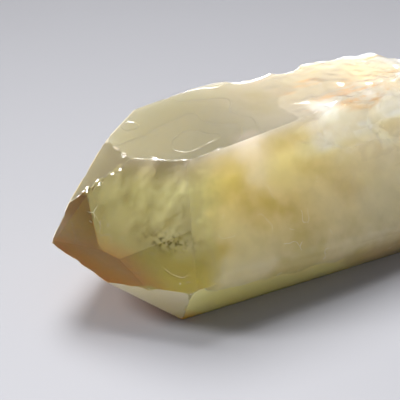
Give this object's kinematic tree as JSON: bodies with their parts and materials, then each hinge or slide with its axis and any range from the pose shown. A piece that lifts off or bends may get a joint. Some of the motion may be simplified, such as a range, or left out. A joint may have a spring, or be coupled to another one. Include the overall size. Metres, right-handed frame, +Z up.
{
  "type": "citrine crystal point",
  "caption": "Six-sided quartz crystal with a pointed tip and a rough broken base, lying on one flat side face.",
  "frame": {"origin": "middle of the crystal's box, on the surface that it lies on", "axes": "+X along the crystal towards its broken base, with the tip at -X, and +Z up from the face it rests on"},
  "size_m": [0.1154, 0.0534, 0.0398],
  "materials": {
    "citrine": "natural crystal faces, clear at the tip and milky towards the base"
  },
  "bodies": {
    "root": {"citrine_point": "citrine"}
  },
  "joints": []
}
